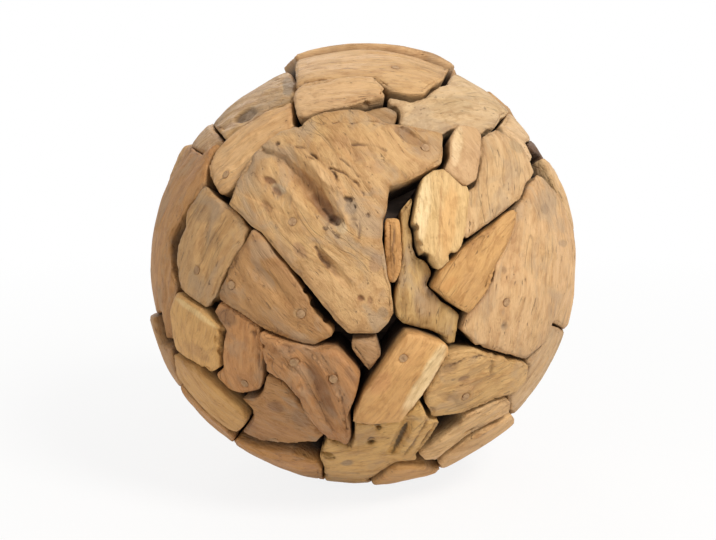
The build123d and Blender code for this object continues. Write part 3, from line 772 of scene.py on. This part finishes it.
def fit_pegs(slab, move):
    """Keeps the slab flush round its pegs and closes its bores round them."""
    for axis in PEG_AXES:
        beside = np.linalg.norm(slab.points - np.outer(slab.points @ axis, axis), axis=1)
        same_side = slab.points @ axis > 0
        move *= np.where(same_side, smooth_step(*PEG_RAMP, beside), 1.0)
        move += PEG_FILL * (1 - slab.on_top) * same_side * (beside < PEG_BORE)


def grimy_tone(slab, tone):
    """The slab's base tone at each point, with grime along the rim."""
    wood = np.tile(linear(tone), (len(slab.points), 1))
    grime = GRIME * slab.rim * slab.patches("grime") * slab.smoother
    return wood * (1 - grime[:, None] * GRIME_TINT)


def tint(wood, colour, share):
    """Draws the wood's tones towards a screen colour."""
    wood += share[:, None] * (linear(colour) - wood)


def own_rows(table, slab):
    """The rows of a table that are for one slab, without its name."""
    return [row[1:] for row in table if row[0] == slab.node]


def add_marks(slab, move, wood):
    for middle, sizes, degrees, colour, strength, depth in own_rows(MARKS, slab):
        away = slab.spots - np.array(middle, float)
        c, s = math.cos(math.radians(degrees)), math.sin(math.radians(degrees))
        u = (away[:, 0] * c + away[:, 1] * s) / sizes[0]
        v = (-away[:, 0] * s + away[:, 1] * c) / sizes[1]
        off = np.hypot(u, v) + MARK_RAGGED * slab.layers("mark")
        amount = (1 - smooth_step(*MARK_RAMP, off)) * slab.front
        move -= depth * amount
        tint(wood, colour, strength * amount)


def add_cracks(slab, move, wood):
    for run, half, depth in own_rows(CRACKS, slab):
        away, right_side = run_distance(slab.spots, run)
        off = np.abs(np.where(right_side, away, -away) + CRACK_WANDER * slab.layers("crack"))
        low, high = (half * end for end in CRACK_RAMP)
        amount = (1 - smooth_step(low, high, off)) * (away < CRACK_PIXELS) * slab.front
        amount *= CRACK_LEAST + (1 - CRACK_LEAST) * slab.patches("crack")
        move -= depth * amount
        tint(wood, CRACK_COLOUR, CRACK_STRENGTH * amount)


def add_steps(slab, move):
    for run, rise, height in own_rows(STEPS, slab):
        spots = slab.spots + STEP_WANDER * slab.layers("step")[:, None]
        away, lower_side = run_distance(spots, run)
        amount = np.where(lower_side, 1 - smooth_step(0.0, rise, away), 0.0) * slab.front
        move -= height * amount


def add_nicks(slab, move):
    for middle, radius, depth in own_rows(NICKS, slab):
        away = np.linalg.norm(slab.spots - np.array(middle, float), axis=1)
        off = away / radius + NICK_RAGGED * slab.layers("nick")
        move -= depth * (1 - smooth_step(*NICK_RAMP, off)) * slab.near_top * slab.in_front


def painted_gap_shade(slab):
    """How much painted shade each point of the walls gets between the slabs, from 0 to 1."""
    edge = np.percentile(slab.outer_reach, GAP_SHADE_PERCENTILE)
    deep = np.clip((edge - GAP_SHADE_START - slab.reach) / GAP_SHADE_SPAN, 0, 1) * (1 - slab.on_top)
    return np.maximum(deep, WALL_SHADE_LEAST * (1 - smooth_step(*WALL_SHADE_RAMP, slab.lift)))


def store(mesh, name, kind, values):
    layer = mesh.attributes.new(name, kind, "POINT")
    key = {"FLOAT": "value", "FLOAT_VECTOR": "vector", "FLOAT_COLOR": "color"}[kind]
    layer.data.foreach_set(key, np.asarray(values, np.float32).ravel())


def dress(node, tone, grain_degrees, weathering, seed, voxel):
    """A worn wooden slab in place of a plain one."""
    slab = Slab(node, grain_degrees, seed, voxel)
    piece, mesh = slab.piece, slab.mesh
    move = face_relief(slab) + wall_relief(slab) - rim_wear(slab)
    fit_pegs(slab, move)
    wood = grimy_tone(slab, tone)
    add_marks(slab, move, wood)
    add_cracks(slab, move, wood)
    add_steps(slab, move)
    add_nicks(slab, move)
    place(mesh, slab.points + move[:, None] * slab.facing)
    store(mesh, "tone", "FLOAT_COLOR", np.column_stack([wood, np.ones(len(wood))]))
    store(mesh, "grain", "FLOAT_VECTOR", slab.fibre + GRAIN_SHIFT * seed)
    # Painted shade between the slabs, stored for the material.
    store(mesh, "depth", "FLOAT", painted_gap_shade(slab))
    store(mesh, "weather", "FLOAT", np.full(len(wood), weathering))
    mesh.shade_smooth()
    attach(piece, "root")
    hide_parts(node)
    return piece


def new_node(nodes, kind, constants):
    """A node of a kind, with constants on its named inputs."""
    node = nodes.new(kind)
    for name, value in constants.items():
        node.inputs[name].default_value = value
    return node


class Weave:
    """Short calls for building one material's nodes."""

    def __init__(self, name):
        self.material = bpy.data.materials.new(name)
        self.material.use_nodes = True
        self.nodes = self.material.node_tree.nodes
        self.links = self.material.node_tree.links
        self.shader = self.nodes["Principled BSDF"]

    def feed(self, socket, value):
        if isinstance(value, bpy.types.NodeSocket):
            self.links.new(value, socket)
        else:
            socket.default_value = value

    def read(self, name, output):
        node = self.nodes.new("ShaderNodeAttribute")
        node.attribute_name = name
        return node.outputs[output]

    def stretched(self, vector, scale):
        node = new_node(self.nodes, "ShaderNodeMapping", {"Scale": scale})
        self.feed(node.inputs["Vector"], vector)
        return node.outputs["Vector"]

    def noise(self, vector, scale, detail, distortion=0.0):
        constants = {
            "Scale": scale,
            "Detail": detail,
            "Roughness": NOISE_ROUGHNESS,
            "Distortion": distortion,
        }
        node = new_node(self.nodes, "ShaderNodeTexNoise", constants)
        self.feed(node.inputs["Vector"], vector)
        return node.outputs["Fac"]

    def ranged(self, value, low, high, to_low=0.0, to_high=1.0):
        constants = {"From Min": low, "From Max": high, "To Min": to_low, "To Max": to_high}
        node = new_node(self.nodes, "ShaderNodeMapRange", constants)
        node.interpolation_type = "SMOOTHSTEP"
        self.feed(node.inputs["Value"], value)
        return node.outputs["Result"]

    def maths(self, kind, first, second):
        node = self.nodes.new("ShaderNodeMath")
        node.operation = kind
        self.feed(node.inputs[0], first)
        self.feed(node.inputs[1], second)
        return node.outputs[0]

    def mixed(self, kind, share, first, second):
        node = self.nodes.new("ShaderNodeMix")
        node.data_type = "RGBA"
        node.blend_type = kind
        # Of its many sockets, 0 is the share, and 6, 7 and output 2 are the ones for colours.
        self.feed(node.inputs[0], share)
        self.feed(node.inputs[6], first)
        self.feed(node.inputs[7], second)
        return node.outputs[2]

    def bumped(self, height, strength, distance):
        constants = {"Strength": strength, "Distance": distance}
        node = new_node(self.nodes, "ShaderNodeBump", constants)
        self.feed(node.inputs["Height"], height)
        self.feed(self.shader.inputs["Normal"], node.outputs["Normal"])


def slab_wood(name, streak, fleck, rough):
    """Weathered wood whose colour, grain and grime come from each slab's stored values."""
    w = Weave(name)
    grain = w.read("grain", "Vector")
    noises = {
        kind: w.noise(w.stretched(grain, stretch), 1.0, detail, distortion)
        for kind, (stretch, detail, distortion) in GRAIN_NOISES.items()
    }
    streaks = w.maths("MULTIPLY", w.ranged(noises["broad"], *STREAK_RAMP), streak)
    colour = w.mixed("MULTIPLY", streaks, w.read("tone", "Color"), STREAK_TINT)
    for kind, (ramp, most, shade) in NOISE_TINTS.items():
        share = w.ranged(noises[kind], *ramp, 0.0, most)
        colour = w.mixed("MULTIPLY", share, colour, shade)
    worn = w.ranged(noises["cloud"], *WORN_RAMP)
    worn = w.maths("MULTIPLY", worn, w.read("weather", "Fac"))
    colour = w.mixed("MIX", worn, colour, WORN_COLOUR)
    flecks = w.maths("MULTIPLY", w.ranged(noises["dash"], *FLECK_RAMP), fleck)
    # Thin lines lie where one noise passes its middle, in some patches.
    lines = w.maths("ABSOLUTE", w.maths("SUBTRACT", noises["split"], 0.5), 0.0)
    lines = w.ranged(lines, *LINE_RAMP, LINE_STRENGTH, 0.0)
    lines = w.maths("MULTIPLY", lines, w.ranged(noises["warm"], *LINE_PATCHES))
    flecks = w.maths("MAXIMUM", flecks, w.maths("MULTIPLY", lines, fleck))
    colour = w.mixed("MIX", flecks, colour, FLECK_COLOUR)
    # Painted shade: walls deep between the slabs, and every wall a little, go towards near black.
    colour = w.mixed("MIX", w.read("depth", "Fac"), colour, GAP_SHADE_COLOUR)
    w.feed(w.shader.inputs["Base Color"], colour)
    rougher = w.ranged(noises["cloud"], *SLAB_GLOSS_RAMP, *(rough + end for end in SLAB_ROUGHER))
    w.feed(w.shader.inputs["Roughness"], rougher)
    w.shader.inputs["Specular IOR Level"].default_value = SLAB_SPECULAR
    heights = [w.maths("MULTIPLY", noises[kind], share) for kind, share in BUMP_HEIGHTS.items()]
    height = w.maths("ADD", w.maths("ADD", heights[0], heights[1]), heights[2])
    w.bumped(w.maths("SUBTRACT", height, flecks), *SLAB_BUMP)
    return w.material


def plain_wood(name, light, dark, stretch, rough):
    """Wood for the core and the pegs, read from the place on the object."""
    w = Weave(name)
    spot = w.nodes.new("ShaderNodeTexCoord").outputs["Object"]
    grain = w.noise(w.stretched(spot, stretch), 1.0, 5.0, 0.5)
    pores = w.noise(spot, PORE_SCALE, 3.0)
    colour = w.mixed("MIX", w.ranged(grain, *PLAIN_RAMP), light, dark)
    share = w.ranged(pores, *PORE_RAMP, 0.0, PORE_STRENGTH)
    colour = w.mixed("MULTIPLY", share, colour, PORE_TINT)
    w.feed(w.shader.inputs["Base Color"], colour)
    rougher = w.ranged(grain, *PLAIN_GLOSS_RAMP, *(rough + end for end in PLAIN_ROUGHER))
    w.feed(w.shader.inputs["Roughness"], rougher)
    w.shader.inputs["Specular IOR Level"].default_value = PLAIN_SPECULAR
    w.bumped(pores, *PLAIN_BUMP)
    return w.material


def area_lamp(name, spot, size, power, colour):
    """A round lamp that shines at the ball's centre."""
    lamp = bpy.data.lights.new(name, "AREA")
    lamp.shape = "DISK"
    lamp.size = size
    lamp.energy = power
    lamp.color = colour
    holder = bpy.data.objects.new(name, lamp)
    bpy.context.scene.collection.objects.link(holder)
    holder.location = spot
    aim = -np.array(spot)
    holder.rotation_euler = (
        math.atan2(math.hypot(aim[0], aim[1]), -aim[2]),
        0,
        math.atan2(aim[1], aim[0]) - math.pi / 2,
    )


def seen_ray(nodes, links):
    """1 for rays that show the background itself, in mirrors and glass too."""
    path = nodes.new("ShaderNodeLightPath")
    share = path.outputs["Is Camera Ray"]
    for kind in ("Is Glossy Ray", "Is Transmission Ray"):
        either = nodes.new("ShaderNodeMath")
        either.operation = "MAXIMUM"
        links.new(share, either.inputs[0])
        links.new(path.outputs[kind], either.inputs[1])
        share = either.outputs[0]
    return share


def blend_out(nodes, links, share, first, second, output):
    """Shows the second shader by a share and the first one for the rest."""
    mix = nodes.new("ShaderNodeMixShader")
    links.new(share, mix.inputs[0])
    links.new(first.outputs[0], mix.inputs[1])
    links.new(second.outputs[0], mix.inputs[2])
    links.new(mix.outputs[0], nodes[output].inputs["Surface"])


def studio_world():
    """Soft light from all round, in front of a white background."""
    world = bpy.data.worlds.new("studio")
    bpy.context.scene.world = world
    world.use_nodes = True
    nodes, links = world.node_tree.nodes, world.node_tree.links
    soft_light = nodes["Background"]
    soft_light.inputs["Color"].default_value = WORLD_COLOUR
    soft_light.inputs["Strength"].default_value = WORLD_STRENGTH
    white = new_node(nodes, "ShaderNodeBackground", {"Color": WHITE, "Strength": 1.0})
    blend_out(nodes, links, seen_ray(nodes, links), soft_light, white, "World Output")


def floor_paint():
    """Matt and pale near the ball, where its shadow shows, and white further off."""
    paint = bpy.data.materials.new("pale_floor")
    paint.use_nodes = True
    nodes, links = paint.node_tree.nodes, paint.node_tree.links
    nodes.remove(nodes["Principled BSDF"])
    matt = new_node(nodes, "ShaderNodeBsdfDiffuse", {"Color": FLOOR_COLOUR})
    glow = new_node(nodes, "ShaderNodeEmission", {"Color": WHITE, "Strength": 1.0})
    far_off = nodes.new("ShaderNodeVectorMath")
    far_off.operation = "LENGTH"
    links.new(nodes.new("ShaderNodeTexCoord").outputs["Object"], far_off.inputs[0])
    fade = new_node(nodes, "ShaderNodeMapRange", {
        "From Min": FLOOR_FADE[0],
        "From Max": FLOOR_FADE[1],
        "To Min": FLOOR_WHITE[0],
        "To Max": FLOOR_WHITE[1],
    })
    links.new(far_off.outputs["Value"], fade.inputs["Value"])
    share = nodes.new("ShaderNodeMath")
    share.operation = "MULTIPLY"
    links.new(seen_ray(nodes, links), share.inputs[0])
    links.new(fade.outputs["Result"], share.inputs[1])
    blend_out(nodes, links, share.outputs[0], matt, glow, "Material Output")
    return paint


def studio_floor(height):
    form = bmesh.new()
    bmesh.ops.create_circle(form, cap_ends=True, segments=FLOOR_CORNERS, radius=FLOOR_RADIUS)
    mesh = bpy.data.meshes.new("floor")
    form.to_mesh(mesh)
    form.free()
    mesh.materials.append(floor_paint())
    floor = bpy.data.objects.new("floor", mesh)
    bpy.context.scene.collection.objects.link(floor)
    floor.location = (0, 0, height)


def photo_camera():
    """The viewer of the photo, with the ball where the photo has it."""
    camera = bpy.data.cameras.new("camera")
    camera.sensor_width = SENSOR_MILLIMETRES
    camera.sensor_fit = "HORIZONTAL"
    camera.lens = SENSOR_MILLIMETRES * FOCAL_PIXELS / PHOTO_WIDTH
    camera.shift_x = (PHOTO_WIDTH / 2 - PHOTO_CENTRE[0]) / PHOTO_WIDTH
    camera.shift_y = (PHOTO_CENTRE[1] - PHOTO_HEIGHT / 2) / PHOTO_WIDTH
    viewer = bpy.data.objects.new("camera", camera)
    bpy.context.scene.collection.objects.link(viewer)
    viewer.location = VIEWER_DISTANCE * TO_VIEWER
    viewer.rotation_euler = (math.pi / 2 - VIEWER_ELEVATION, 0, 0)
    bpy.context.scene.camera = viewer


root_wood = slab_wood("root_wood", streak=0.46, fleck=0.50, rough=0.60)
pale_wood = slab_wood("pale_wood", streak=0.26, fleck=0.22, rough=0.56)
# The core is near black and shows only down the seams between the slabs, where its darkness paints
# their shade.
core_wood = plain_wood(
    "core_wood",
    light=(0.050, 0.028, 0.016, 1),
    dark=(0.018, 0.010, 0.006, 1),
    stretch=(30, 30, 220),
    rough=0.75,
)
peg_wood = plain_wood(
    "peg_wood",
    light=(0.46, 0.29, 0.15, 1),
    dark=(0.31, 0.18, 0.09, 1),
    stretch=(300, 300, 300),
    rough=0.65,
)

for seed, (node, looks) in enumerate({**SEEN_SLABS, **FAR_SLABS}.items(), start=1):
    voxel = FINE_VOXELS.get(node, SEEN_VOXEL if node in SEEN_SLABS else FAR_VOXEL)
    slab_piece = dress(node, *looks, seed, voxel)
    slab_piece.data.materials.append(pale_wood if node in PALE_SLABS else root_wood)
for node, material in (("core", core_wood), ("pegs", peg_wood)):
    cad_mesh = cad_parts[node].data
    cad_mesh.materials.clear()
    cad_mesh.materials.append(material)

for lamp in LAMPS:
    area_lamp(*lamp)
studio_world()
studio_floor(cad_low[2])
photo_camera()
bpy.context.scene.view_settings.view_transform = "Standard"
